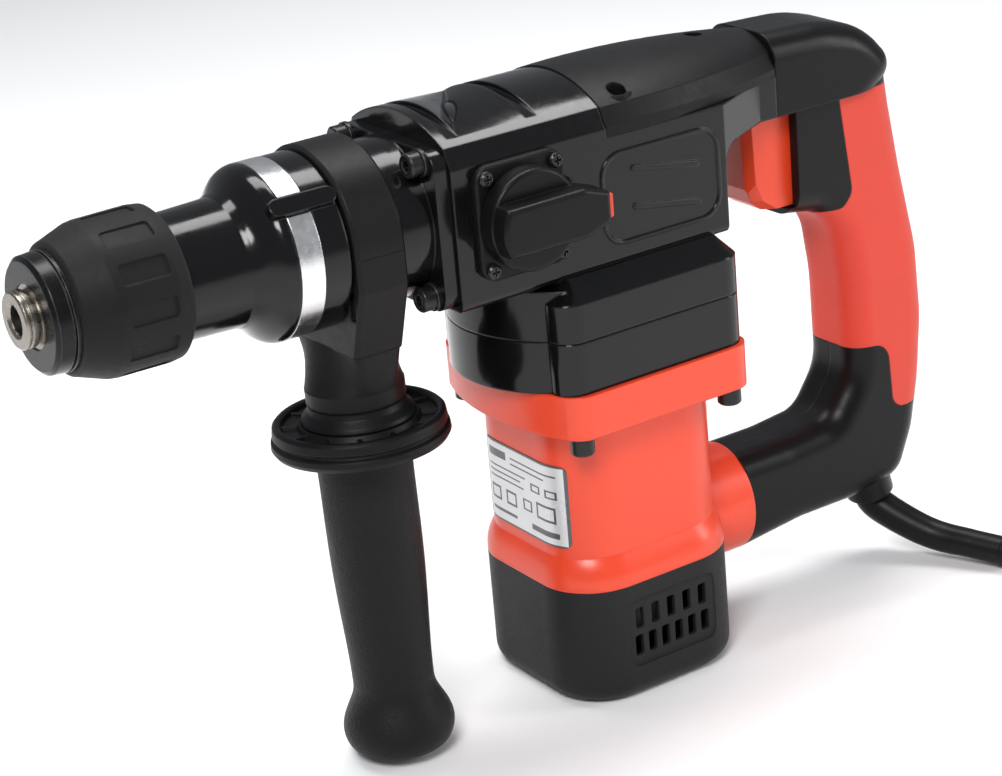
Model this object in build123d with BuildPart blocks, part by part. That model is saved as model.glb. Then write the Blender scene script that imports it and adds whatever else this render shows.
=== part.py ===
from build123d import *
import os
from math import cos, pi, radians, sin, sqrt

os.makedirs("parts", exist_ok=True)

# Rotary hammer with an upright motor under the gear case and a D-handle behind it.
# The origin is the middle of the motor's flat foot, +Z is up, the tool points to -X
# and the mode knob is on the -Y side.  All sizes are in millimetres.

# ---------------------------------------------------------------- driving dimensions
tool_height = 197.0       # tool axis above the foot
run_fit = 0.05            # radial clearance of a running fit
gap = 0.3                 # air between bodies that only pass each other

# Stations along the tool axis.
nose_x = -220.8           # front end of the bare tool holder
cap_x = -215.4            # front face of the nose cap
sleeve_x = -206.9         # front face of the locking sleeve
sleeve_rear_x = -168.9
neck_x = -170.5           # front face of the barrel neck
cone_x = -145.0
collar_x = -134.0
band_x = -132.8
band_width = 8.9
clamp_x = -113.4          # seat of the side handle clamp
clamp_rear_x = -92.5
flange_x = -79.5
case_x = -74.0            # front face of the crankcase
deck_x = -10.0            # the top cover starts here
case_rear_x = 41.0
seam_x = 76.0             # crankcase tail and top cover meet the D-handle here

# Radii about the tool axis.
bore_r = 5.05             # takes a 10 mm grooved tool shank
holder_r = 11.0
neck_r = 22.0
collar_r = 30.9
clamp_r = 28.2
cylinder_r = 17.0
cylinder_bore = 14.0
sleeve_r = 26.8
sleeve_travel = 6.0

# Heights below the tool axis.
case_floor = -30.0
seam_z = -49.3            # joint between crankcase and gear cover
band_top = -69.0          # top of the motor housing's flange band
band_low = -85.3
foot_top = -150.0         # joint between motor housing and base cap

# Widths (half, along Y).
case_half = 33.0
skirt_half = 42.0
flange_half = 44.0
motor_half = 34.0
foot_half = 38.0
grip_half = 16.4
crest_half = 19.5

# Gear train: armature pinion, crank gear, intermediate gear and bevel pair.
gear_module = 0.8
pinion_teeth = 10
idler_teeth = 50
crank_teeth = 34
bevel_module = 1.1
bevel_pinion_teeth = 10
bevel_ring_teeth = 40
crank_throw = 5.0
rod_length = 57.0

# Derived places.
pinion_r = gear_module * pinion_teeth / 2
idler_x = -(pinion_r + gear_module * idler_teeth / 2)
crank_x = pinion_r + gear_module * crank_teeth / 2
ring_r = bevel_module * bevel_ring_teeth / 2
bevel_r = bevel_module * bevel_pinion_teeth / 2
gear_low = -46.5
gear_height = 8.0
web_low = -36.0           # underside of the floor between crank and gear chambers
bearing_low = -66.0       # bottom of the bearing seats in the gear cover
crank_seat_r = 12.0
crank_foot_r = 8.0
idler_seat_r = 10.0
motor_seat_r = 8.6

tool_plane = Plane(origin=(0, 0, tool_height), x_dir=(1, 0, 0), z_dir=(0, -1, 0))
motor_plane = Plane(origin=(0, 0, tool_height), x_dir=(0, 0, 1), z_dir=(0, 1, 0))

# The side handle hangs from the barrel and leans a little toward -Y.
grip_x = -102.2
grip_lean = radians(2.36)
side_plane = Plane(
    origin=(grip_x, 0, tool_height),
    x_dir=(0, -sin(grip_lean), -cos(grip_lean)),
    z_dir=(0, -cos(grip_lean), sin(grip_lean)),
)


# ---------------------------------------------------------------- shared shapes
def write(piece, label):
    """Name a finished piece and write its STEP file."""
    piece.part.label = label
    export_step(piece.part, f"parts/{label}.step")


def cross_plane(x):
    """Plane across the tool axis at X, its own X along +Y and its own Y along +Z."""
    return Plane(origin=(x, 0, tool_height), x_dir=(0, 1, 0), z_dir=(1, 0, 0))


def level(z):
    """Horizontal plane at a height measured from the tool axis."""
    return Plane.XY.offset(tool_height + z)


def upright(x):
    """Plane whose X runs up along a vertical axis at X and whose Y is the radius."""
    return Plane(origin=(x, 0, tool_height), x_dir=(0, 0, 1), z_dir=(0, 1, 0))


def turned(outline, plane):
    """Solid of revolution from (distance along the axis, radius) points."""
    with BuildPart() as piece:
        with BuildSketch(plane):
            with BuildLine():
                Polyline(*outline, close=True)
            make_face()
        revolve(axis=Axis(plane.origin, plane.x_dir))
    return piece


def ring(start, end, inner, outer, plane, chamfer_by=0.4):
    """Plain ring with broken outer edges, used for bearings, bushes and seals."""
    outline = [
        (start, inner),
        (start, outer - chamfer_by),
        (start + chamfer_by, outer),
        (end - chamfer_by, outer),
        (end, outer - chamfer_by),
        (end, inner),
    ]
    return turned(outline, plane)


def rounded_block(x_low, x_high, half_width, z_low, z_high, corner):
    """Upright block with rounded vertical corners."""
    with BuildPart() as piece:
        with BuildSketch(level(z_low)):
            with Locations(((x_low + x_high) / 2, 0)):
                RectangleRounded(x_high - x_low, 2 * half_width, corner)
        extrude(amount=z_high - z_low)
    return piece


def socket_screw(seat, direction, head_r, head_length, shank_r, shank_length, socket_r):
    """Cylinder head screw with a hexagon socket; direction points out of the head."""
    base = Plane(origin=Vector(*seat) + Vector(0, 0, tool_height), z_dir=direction)
    with BuildPart() as piece:
        with BuildSketch(base):
            Circle(head_r)
        extrude(amount=head_length)
        chamfer(piece.edges().sort_by(Axis(base.origin, base.z_dir))[-1], length=0.6)
        with BuildSketch(base.offset(head_length)):
            RegularPolygon(socket_r, 6)
        extrude(amount=-head_length * 0.6, mode=Mode.SUBTRACT)
        with BuildSketch(base):
            Circle(shank_r)
        extrude(amount=-shank_length)
    return piece


def cross_screw(seat, direction, head_r, head_length, shank_r, shank_length):
    """Pan head screw with a cross recess; direction points out of the head."""
    base = Plane(origin=Vector(*seat) + Vector(0, 0, tool_height), z_dir=direction)
    with BuildPart() as piece:
        with BuildSketch(base):
            Circle(head_r)
        extrude(amount=head_length)
        chamfer(piece.edges().sort_by(Axis(base.origin, base.z_dir))[-1], length=0.7)
        with BuildSketch(base.offset(head_length)):
            Rectangle(head_r * 1.2, head_r * 0.3)
            Rectangle(head_r * 0.3, head_r * 1.2)
        extrude(amount=-head_length * 0.6, mode=Mode.SUBTRACT)
        with BuildSketch(base):
            Circle(shank_r)
        extrude(amount=-shank_length)
    return piece


def group(pieces):
    """Several identical loose solids kept in one node."""
    with BuildPart() as together:
        for piece in pieces:
            add(piece.part)
    return together


def involute_outline(teeth, module, thickness):
    """Points of a stub-tooth gear outline; thickness is the share of the pitch."""
    pitch_r = module * teeth / 2
    base_r = pitch_r * cos(radians(20))
    tip_r = pitch_r + 0.75 * module
    root_r = pitch_r - 1.0 * module

    def flank(radius):
        """Half the angle that a tooth spans at a radius."""
        def involute(r):
            reach = sqrt(max((r / base_r) ** 2 - 1, 0))
            return reach - atan_of(reach)
        return thickness * pi / teeth + involute(pitch_r) - involute(max(radius, base_r))

    steps = [root_r, max(base_r, root_r + 0.1), pitch_r, (pitch_r + tip_r) / 2, tip_r]
    half = [(r, flank(r)) for r in steps]
    points = []
    for tooth in range(teeth):
        middle = 2 * pi * tooth / teeth
        for r, angle in half:
            points.append((r * cos(middle - angle), r * sin(middle - angle)))
        for r, angle in reversed(half):
            points.append((r * cos(middle + angle), r * sin(middle + angle)))
    return points


def atan_of(value):
    """Arctangent in radians."""
    return radians(Vector(1, 0).get_angle(Vector(1, value)))


def spur_gear(x, teeth, low, height, bore, turn, thickness=0.42):
    """Upright spur gear on a vertical axis at X, turned by an angle in degrees."""
    plane = Plane(origin=(x, 0, tool_height + low), x_dir=(cos(radians(turn)), sin(radians(turn)), 0))
    with BuildPart() as piece:
        with BuildSketch(plane):
            with BuildLine():
                Polyline(*involute_outline(teeth, gear_module, thickness), close=True)
            make_face()
            if bore:
                Circle(bore, mode=Mode.SUBTRACT)
        extrude(amount=height)
    return piece


# ---------------------------------------------------------------- tool holder and chuck
tool_holder = turned(
    [
        (nose_x, bore_r + 1.0),
        (nose_x, 9.2),
        (nose_x + 0.6, 9.8),
        (nose_x + 1.5, 9.8),
        (nose_x + 1.9, 9.3),
        (nose_x + 2.3, 9.8),
        (nose_x + 4.0, 9.8),
        (nose_x + 4.0, 9.1),
        (nose_x + 5.8, 9.1),
        (nose_x + 5.8, holder_r),
        (-165.0, holder_r),
        (-165.0, 16.0),
        (-162.0, 16.0),
        (-162.0, 12.5),
        (-146.0, 12.5),
        (-146.0, cylinder_r),
        (-112.0, cylinder_r),
        (-112.0, 10.5),
        (-128.0, 10.5),
        (-128.0, 7.55),
        (-150.0, 7.55),
        (-150.0, bore_r),
        (nose_x + 1.0, bore_r),
    ],
    tool_plane,
)
ball_x = -190.0
ball_r = 3.4
ball_centre = bore_r + 0.05 + ball_r
with BuildPart() as holder_with_windows:
    add(tool_holder.part)
    with Locations((ball_x, 0, tool_height + ball_centre), (ball_x, 0, tool_height - ball_centre)):
        Cylinder(ball_r + 0.1, 2 * ball_r, mode=Mode.SUBTRACT)
write(holder_with_windows, "tool_holder")

with BuildPart() as locking_balls:
    with Locations((ball_x, 0, tool_height + ball_centre), (ball_x, 0, tool_height - ball_centre)):
        Sphere(ball_r)
write(locking_balls, "locking_balls")

nose_cap = turned(
    [
        (cap_x, holder_r + run_fit),
        (cap_x, 18.4),
        (cap_x + 1.4, 19.9),
        (cap_x + 6.2, 20.3),
        (cap_x + 6.2, 19.2),
        (cap_x + 6.9, 19.2),
        (cap_x + 6.9, 20.5),
        (sleeve_x - gap, 20.5),
        (sleeve_x - gap, holder_r + run_fit),
    ],
    tool_plane,
)
write(nose_cap, "nose_cap")

# Locking sleeve: a rubber covered cup with twelve shallow grip pockets.
pocket_count = 12
with BuildPart() as locking_sleeve:
    with BuildSketch(tool_plane):
        with BuildLine():
            Polyline(
                (sleeve_x, 12.4),
                (sleeve_x, 21.4),
                (sleeve_x + 1.0, 22.5),
                (-195.4, 26.2),
                (-192.6, 26.6),
                (-174.0, sleeve_r),
                (-170.3, 26.3),
                (sleeve_rear_x, 24.9),
                (sleeve_rear_x, 22.9),
                (-196.0, 22.9),
                (-196.0, 12.4),
                (sleeve_x, 12.4),
            )
        make_face()
    revolve(axis=Axis(tool_plane.origin, tool_plane.x_dir))
    for index in range(pocket_count):
        outward = Plane(
            origin=(-184.0, 0, tool_height),
            x_dir=(1, 0, 0),
            z_dir=(0, sin(2 * pi * index / pocket_count), cos(2 * pi * index / pocket_count)),
        )
        with BuildSketch(outward.offset(sleeve_r - 0.9)):
            RectangleRounded(17.0, 7.0, 1.2)
        extrude(amount=3.0, mode=Mode.SUBTRACT)
write(locking_sleeve, "locking_sleeve")

spring_turns = 6
with BuildPart() as sleeve_spring:
    with BuildLine() as spring_path:
        Helix(
            pitch=28.8 / spring_turns,
            height=28.8,
            radius=14.2,
            center=(-195.2, 0, tool_height),
            direction=(1, 0, 0),
        )
    with BuildSketch(Plane(origin=spring_path.line @ 0, z_dir=spring_path.line % 0)):
        Circle(0.7)
    sweep()
write(sleeve_spring, "sleeve_spring")

# ---------------------------------------------------------------- impact line
with BuildPart() as cylinder:
    add(turned(
        [
            (-112.0, 6.55),
            (-112.0, cylinder_r),
            (-34.0, cylinder_r),
            (-34.0, cylinder_bore),
            (-98.0, cylinder_bore),
            (-100.0, 6.55),
        ],
        tool_plane,
    ).part)
write(cylinder, "cylinder")

impact_bolt = turned(
    [(-146, 0), (-146, 6.7), (-145, 7.5), (-125, 7.5), (-123.5, 10.3), (-115, 10.3),
     (-114, 6.5), (-102, 6.5), (-101, 5.6), (-101, 0)],
    tool_plane,
)
write(impact_bolt, "impact_bolt")

striker = turned(
    [(-94, 0), (-94, 7.2), (-93, 8), (-89, 8), (-88, 13.95), (-81, 13.95), (-81, 12.2),
     (-78, 12.2), (-78, 13.95), (-69, 13.95), (-68, 13), (-68, 0)],
    tool_plane,
)
write(striker, "striker")
write(ring(-80.9, -78.1, 12.25, 13.95, tool_plane, 0.6), "striker_ring")

wrist_x = crank_x + crank_throw - rod_length
piston_front = wrist_x - 19.5
piston = turned(
    [
        (piston_front, 0),
        (piston_front, 13.3),
        (piston_front + 0.7, 13.95),
        (piston_front + 2.6, 13.95),
        (piston_front + 2.6, 12.2),
        (piston_front + 5.6, 12.2),
        (piston_front + 5.6, 13.95),
        (wrist_x + 8.0, 13.95),
        (wrist_x + 8.0, 11.7),
        (wrist_x - 11.0, 11.7),
        (wrist_x - 11.0, 10.3),
        (wrist_x - 15.0, 10.3),
        (wrist_x - 15.0, 0),
    ],
    tool_plane,
)
write(piston, "piston")
write(ring(piston_front + 2.7, piston_front + 5.5, 12.25, 13.95, tool_plane, 0.6), "piston_ring")

# Crank side: connecting rod, wrist pin, crankshaft and its gear.
pin_x = crank_x + crank_throw
rod_half = 4.0
with BuildPart() as connecting_rod:
    with BuildSketch(level(-rod_half)):
        with Locations((pin_x, 0)):
            Circle(8.0)
        with Locations((wrist_x, 0)):
            Circle(4.4)
        with Locations(((pin_x + wrist_x) / 2, 0)):
            Rectangle(rod_length, 5.6)
        with Locations((pin_x, 0)):
            Circle(4.0 + run_fit, mode=Mode.SUBTRACT)
        with Locations((wrist_x, 0)):
            Circle(2.5, mode=Mode.SUBTRACT)
    extrude(amount=2 * rod_half)
write(connecting_rod, "connecting_rod")
write(ring(-5.2, 5.2, 0, 2.5, upright(wrist_x)), "wrist_pin")

with BuildPart() as crankshaft:
    with BuildSketch(level(-66.0)):
        with Locations((crank_x, 0)):
            Circle(5.0)
    extrude(amount=66.0 - 23.6)
    with BuildSketch(level(-24.0)):
        with Locations((crank_x, 0)):
            Circle(12.5)
    extrude(amount=6.0)
    with BuildSketch(level(-18.0)):
        with Locations((pin_x, 0)):
            Circle(4.0)
    extrude(amount=18.0 + rod_half + 1.5)
write(crankshaft, "crankshaft")

# The intermediate gear turns the bevel pinion, the crank gear the crankshaft.
write(spur_gear(crank_x, crank_teeth, gear_low, gear_height, 5.0, 180), "crank_gear")
write(spur_gear(idler_x, idler_teeth, gear_low, gear_height, 4.5, 0), "intermediate_gear")


# ---------------------------------------------------------------- bevel pair
cone_distance = sqrt(ring_r ** 2 + bevel_r ** 2)
bevel_face = 4.4
apex = Vector(idler_x, 0, tool_height)


def bevel_tooth(toward, outward, module, share):
    """One straight tooth that narrows to the apex; it stands on its pitch cone line."""
    toward = Vector(*toward).normalized()
    outward = Vector(*outward).normalized()
    across = toward.cross(outward)

    def profile(distance):
        size = distance / cone_distance * module
        plane = Plane(origin=apex + toward * distance, x_dir=across, z_dir=across.cross(outward))
        half = share * pi * size / 2
        return plane, half, size

    with BuildPart() as piece:
        for distance in (cone_distance, cone_distance - bevel_face):
            plane, half, size = profile(distance)
            with BuildSketch(plane):
                with BuildLine():
                    Polyline(
                        (-half - 0.22 * size, -1.5 * size),
                        (-half + 0.26 * size, 0.7 * size),
                        (half - 0.26 * size, 0.7 * size),
                        (half + 0.22 * size, -1.5 * size),
                        close=True,
                    )
                make_face()
        loft(ruled=True)
    return piece


# Pitch lines from the apex to the meshing point straight below the tool axis.
mesh_line = (-bevel_r, 0, -ring_r)
ring_tooth = bevel_tooth(mesh_line, (ring_r, 0, -bevel_r), bevel_module, 0.40)
pinion_tooth = bevel_tooth(mesh_line, (-ring_r, 0, bevel_r), bevel_module, 0.36)
ring_face_x = idler_x - bevel_r
toe_share = 1 - bevel_face / cone_distance
root_drop = 1.1 * bevel_module

with BuildPart() as bevel_ring:
    add(turned(
        [
            (ring_face_x - 8.0, cylinder_r),
            (ring_face_x - 8.0, ring_r - 1.0),
            (ring_face_x - root_drop, ring_r + 0.4),
            (idler_x - bevel_r * toe_share - root_drop, ring_r * toe_share + 0.3),
            (idler_x - bevel_r * toe_share - root_drop, cylinder_r),
        ],
        tool_plane,
    ).part)
    for index in range(bevel_ring_teeth):
        add(ring_tooth.part.rotate(Axis(tool_plane.origin, (1, 0, 0)), 360 * (index + 0.5) / bevel_ring_teeth))
    with BuildSketch(cross_plane(ring_face_x - 12.0)):
        Circle(cylinder_r)
    extrude(amount=24.0, mode=Mode.SUBTRACT)
write(bevel_ring, "bevel_ring")

with BuildPart() as bevel_shaft:
    add(turned(
        [
            (-66.0, 0),
            (-66.0, 4.5),
            (-27.5, 4.5),
            (-ring_r - 1.0, bevel_r - root_drop),
            (-ring_r, bevel_r - root_drop + 0.2),
            (-ring_r * toe_share, bevel_r * toe_share - root_drop + 0.3),
            (-ring_r * toe_share, 0),
        ],
        upright(idler_x),
    ).part)
    for index in range(bevel_pinion_teeth):
        add(pinion_tooth.part.rotate(Axis((idler_x, 0, 0), (0, 0, 1)), 360 * index / bevel_pinion_teeth))
write(bevel_shaft, "bevel_shaft")

# ---------------------------------------------------------------- bearings and seal
write(ring(-161.1, -158.2, 12.5 + run_fit, 19.0, tool_plane, 0.3), "front_seal")
write(group([
    ring(-158.0, -146.6, 12.5 + run_fit, 19.0, tool_plane),
    ring(-91.8, -81.0, cylinder_r + run_fit, 23.0, tool_plane),
]), "spindle_bearings")
write(group([
    ring(web_low, -27.5, 5.0 + run_fit, crank_seat_r, upright(crank_x)),
    ring(bearing_low, -55.0, 5.0 + run_fit, crank_foot_r, upright(crank_x)),
    ring(web_low, -28.5, 4.5 + run_fit, idler_seat_r, upright(idler_x)),
    ring(bearing_low, -55.0, 4.5 + run_fit, idler_seat_r, upright(idler_x)),
]), "gear_bearings")

# ---------------------------------------------------------------- front barrel
rib_angle = radians(48)
rib_plane = Plane(
    origin=(0, 0, tool_height),
    x_dir=(1, 0, 0),
    z_dir=(0, -sin(rib_angle), cos(rib_angle)),
)
with BuildPart() as front_barrel:
    with BuildSketch(tool_plane):
        with BuildLine():
            Polyline(
                (neck_x, 19.0),
                (neck_x, neck_r - 1.2),
                (neck_x + 0.9, neck_r - 0.3),
                (cone_x - 1.2, neck_r + 0.4),
                (cone_x, neck_r + 1.0),
            )
            Spline(
                (cone_x, neck_r + 1.0),
                (-139.5, 27.4),
                (collar_x, collar_r),
                tangents=((1, 0.35), (1, 0.15)),
            )
            Polyline(
                (collar_x, collar_r),
                (band_x, collar_r),
                (band_x, collar_r - 0.9),
                (band_x + band_width, collar_r - 0.9),
                (band_x + band_width, collar_r),
                (clamp_x - 0.6, collar_r),
                (clamp_x, collar_r - 0.6),
                (clamp_x, clamp_r),
                (clamp_rear_x, clamp_r),
                (-85.0, 28.5),
                (case_x, 28.5),
                (case_x, 23.0),
                (-92.0, 23.0),
                (-92.0, 18.0),
                (-96.0, 18.0),
                (-98.0, 24.0),
                (-126.0, 24.0),
                (-129.0, 18.0),
                (-146.5, 18.0),
                (-146.5, 19.0),
                (neck_x, 19.0),
            )
        make_face()
    revolve(axis=Axis(tool_plane.origin, tool_plane.x_dir))
    with BuildSketch(cross_plane(flange_x)):
        with Locations((0, -0.5)):
            RectangleRounded(63.0, 57.0, 7.0)
        Circle(26.0, mode=Mode.SUBTRACT)
    extrude(amount=case_x - flange_x)
    with BuildSketch(rib_plane.offset(collar_r - 1.0)):
        with Locations(((clamp_x - 138.5) / 2, 0)):
            SlotOverall(clamp_x + 138.5, 6.4)
    extrude(amount=3.4)
bolt_y = 23.9
bolt_z = 23.8
flange_bolt_places = [(y, z) for y in (-bolt_y, bolt_y) for z in (-bolt_z, bolt_z)]
with BuildPart() as drilled_barrel:
    add(front_barrel.part)
    with BuildSketch(cross_plane(flange_x - 1)):
        with Locations(*flange_bolt_places):
            Circle(2.6)
    extrude(amount=8.0, mode=Mode.SUBTRACT)
write(drilled_barrel, "front_barrel")

with BuildPart() as barrel_band:
    with BuildSketch(cross_plane(band_x + 0.05)):
        Circle(collar_r + 0.15)
        Circle(collar_r - 0.85, mode=Mode.SUBTRACT)
    extrude(amount=band_width - 0.1)
    with BuildSketch(rib_plane.offset(collar_r - 3.0)):
        with Locations((band_x + band_width / 2, 0)):
            Rectangle(band_width + 2, 6.8)
    extrude(amount=6.0, mode=Mode.SUBTRACT)
write(barrel_band, "barrel_band")

washer_thickness = 1.4
write(group([
    socket_screw((flange_x - washer_thickness, y, z), (-1, 0, 0), 4.4, 4.9, 2.5, 20.0, 2.3)
    for y, z in flange_bolt_places
]), "flange_bolts")
with BuildPart() as flange_washers:
    with BuildSketch(cross_plane(flange_x)):
        with Locations(*flange_bolt_places):
            Circle(5.0)
            Circle(2.6, mode=Mode.SUBTRACT)
    extrude(amount=-washer_thickness)
write(flange_washers, "flange_washers")


# ---------------------------------------------------------------- crankcase
def case_profile(plane, inset):
    """Section across the crankcase: flat floor and sides under a shallow dome."""
    side = case_half - inset
    eave = side - 3.5
    with BuildSketch(plane) as profile:
        with BuildLine():
            Polyline(
                (-eave, 28.0 - inset),
                (-side, 21.0 - inset / 2),
                (-side, case_floor + inset),
                (side, case_floor + inset),
                (side, 21.0 - inset / 2),
                (eave, 28.0 - inset),
            )
            ThreePointArc((eave, 28.0 - inset), (0, 36.5 - inset), (-eave, 28.0 - inset))
        make_face()
    return profile


def gear_case_plan(plane, inset):
    """Plan of the gear case: a square block with a rounded prow in front of it."""
    with BuildSketch(plane) as plan:
        with Locations((prow_x, 0)):
            Circle(prow_r - inset)
        Rectangle(140.0, 2 * (skirt_half - 5.0 - inset), mode=Mode.INTERSECT)
        RectangleRounded(2 * (skirt_deep - inset), 2 * (skirt_half - inset), 9.0 - inset)
    return plan


prow_x = -9.0
prow_r = 45.0
skirt_deep = 40.5
wall = 4.5
deck_z = 18.0
tail_low = 2.5
selector_x = -48.5
selector_hole_r = 5.2

with BuildPart() as skirt:
    with BuildSketch(level(seam_z)):
        RectangleRounded(2 * skirt_deep, 2 * skirt_half, 9.0)
    extrude(amount=-28.0 - seam_z)
    chamfer(skirt.faces().sort_by(Axis.Z)[-1].edges(), length=7.5)

with BuildPart() as tail:
    with BuildSketch(level(tail_low)):
        Polygon(
            (case_rear_x - 6.0, -case_half),
            (case_rear_x, -case_half),
            (seam_x - 8.0, -crest_half),
            (seam_x, -crest_half),
            (seam_x, crest_half),
            (seam_x - 8.0, crest_half),
            (case_rear_x, case_half),
            (case_rear_x - 6.0, case_half),
            align=None,
        )
    extrude(amount=deck_z - tail_low)

with BuildPart() as crankcase:
    extrude(case_profile(cross_plane(case_x), 0).sketch, amount=case_rear_x - case_x)
    fillet(crankcase.edges().filter_by(Axis.X).group_by(Axis.Z)[0], radius=3.5)
    add(tail.part)
    fillet(
        crankcase.edges().filter_by(Axis.Y).filter_by_position(Axis.X, case_rear_x - 0.1, case_rear_x + 0.1)
        .filter_by_position(Axis.Z, tool_height + tail_low - 0.1, tool_height + tail_low + 0.1),
        radius=8.0,
    )
    # Deck for the top cover.
    add(rounded_block(deck_x, 100.0, 50.0, deck_z, 60.0, 1.0).part, mode=Mode.SUBTRACT)
    # Skirt and prow over the gears.
    add(skirt.part)
    with BuildSketch(level(seam_z)):
        with Locations((prow_x, 0)):
            Circle(prow_r)
        Rectangle(140.0, 2 * (skirt_half - 5.0), mode=Mode.INTERSECT)
    extrude(amount=-31.0 - seam_z)
    # Crosswise grooves over the dome, deepest on top and running out at the sides.
    for groove_x in (-70.0, -38.0):
        with BuildSketch(cross_plane(groove_x)):
            with Locations((0, 36.0)):
                Rectangle(60.0, 12.0)
            with Locations((0, -40.0)):
                Circle(74.6, mode=Mode.SUBTRACT)
        extrude(amount=4.5, mode=Mode.SUBTRACT)
    # Hollows: barrel end, crank chamber, gear chamber.
    with BuildSketch(cross_plane(case_x)):
        Circle(27.0)
    extrude(amount=20.0, mode=Mode.SUBTRACT)
    extrude(case_profile(cross_plane(-60.0), wall).sketch, amount=46.0, mode=Mode.SUBTRACT)
    add(rounded_block(-20.0, case_rear_x - wall, case_half - wall, case_floor + wall, 13.5, 3.0).part,
        mode=Mode.SUBTRACT)
    extrude(gear_case_plan(level(seam_z), wall).sketch, amount=web_low - seam_z, mode=Mode.SUBTRACT)
    # Bearing seats in the floor between the chambers.
    for seat_x, seat_r, seat_top, hole_r in ((crank_x, crank_seat_r, -27.5, 6.0), (idler_x, idler_seat_r, -28.5, 5.2)):
        with BuildSketch(level(web_low)):
            with Locations((seat_x, 0)):
                Circle(seat_r)
        extrude(amount=seat_top - web_low, mode=Mode.SUBTRACT)
        with BuildSketch(level(web_low)):
            with Locations((seat_x, 0)):
                Circle(hole_r)
        extrude(amount=12.0, mode=Mode.SUBTRACT)
    # Selector shaft hole and threads for the flange bolts.
    with BuildSketch(Plane(origin=(selector_x, -20.0, tool_height), x_dir=(1, 0, 0), z_dir=(0, -1, 0))):
        Circle(selector_hole_r)
    extrude(amount=20.0, mode=Mode.SUBTRACT)
    with BuildSketch(cross_plane(case_x)):
        with Locations(*flange_bolt_places):
            Circle(2.5)
    extrude(amount=14.5, mode=Mode.SUBTRACT)
    # Raised frame and slanted bars on both rear flanks.
    for side in (-1, 1):
        flank = Plane(origin=(12.0, side * (case_half - 0.5), tool_height - 5.0),
                      x_dir=(1, 0, 0), z_dir=(0, side, 0))
        with BuildSketch(flank):
            RectangleRounded(52.0, 34.0, 9.0)
            RectangleRounded(49.4, 31.4, 7.7, mode=Mode.SUBTRACT)
            with Locations(Location((2.0, side * 7.0), -10.0), Location((2.0, side * -7.0), -10.0)):
                SlotOverall(30.0, 2.2)
        extrude(amount=1.2)
write(crankcase, "crankcase")

# ---------------------------------------------------------------- gear cover
cover_recess = -57.0
flange_screw_x = 33.0
flange_screw_y = 37.6
screw_places = [(x, y) for x in (-flange_screw_x, flange_screw_x) for y in (-flange_screw_y, flange_screw_y)]
cover_seats = ((crank_x, crank_foot_r), (idler_x, idler_seat_r), (0.0, motor_seat_r))
with BuildPart() as gear_cover:
    extrude(gear_case_plan(level(band_top), 0).sketch, amount=seam_z - band_top)
    chamfer(gear_cover.faces().sort_by(Axis.Z)[-1].edges(), length=0.5)
    extrude(gear_case_plan(level(band_top), wall).sketch, amount=cover_recess - band_top, mode=Mode.SUBTRACT)
    for seat_x, seat_r in cover_seats:
        with BuildSketch(level(band_top)):
            with Locations((seat_x, 0)):
                Circle(seat_r + 3.0)
        extrude(amount=seam_z - band_top)
    for seat_x, seat_r in cover_seats:
        with BuildSketch(level(bearing_low)):
            with Locations((seat_x, 0)):
                Circle(seat_r)
        extrude(amount=30.0, mode=Mode.SUBTRACT)
    with BuildSketch(level(band_top)):
        Circle(6.0)
    extrude(amount=10.0, mode=Mode.SUBTRACT)
    with BuildSketch(level(band_top)):
        with Locations(*screw_places):
            Circle(2.0)
    extrude(amount=9.8, mode=Mode.SUBTRACT)
write(gear_cover, "gear_cover")

# ---------------------------------------------------------------- motor housing
stator_r = 30.0
cage_r = 24.5
boss_r = 21.5
boss_rear_x = 56.0
boss_z = -149.0


def flange_plan(plane, inset):
    """Plan of the flange band, bowed outward in front."""
    with BuildSketch(plane) as plan:
        with BuildLine():
            Polyline(
                (-37.0 + inset, flange_half - inset),
                (41.0 - inset, flange_half - inset),
                (41.0 - inset, -flange_half + inset),
                (-37.0 + inset, -flange_half + inset),
            )
            ThreePointArc(
                (-37.0 + inset, -flange_half + inset),
                (-47.0 + inset, 0),
                (-37.0 + inset, flange_half - inset),
            )
        make_face()
        fillet(plan.vertices(), radius=9.0 - inset)
    return plan


def motor_plan(plane, inset):
    """Plan of the motor barrel: a square with very round corners."""
    with BuildSketch(plane) as plan:
        with Locations((-1.0, 0)):
            RectangleRounded(2 * (motor_half + 2.0 - inset), 2 * (motor_half - inset), 20.0 - inset)
    return plan


def foot_plan(plane, inset):
    """Plan of the base cap."""
    with BuildSketch(plane) as plan:
        with Locations((-1.0, 0)):
            RectangleRounded(2 * (foot_half + 1.0 - inset), 2 * (foot_half - inset), 23.0 - inset)
    return plan


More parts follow.
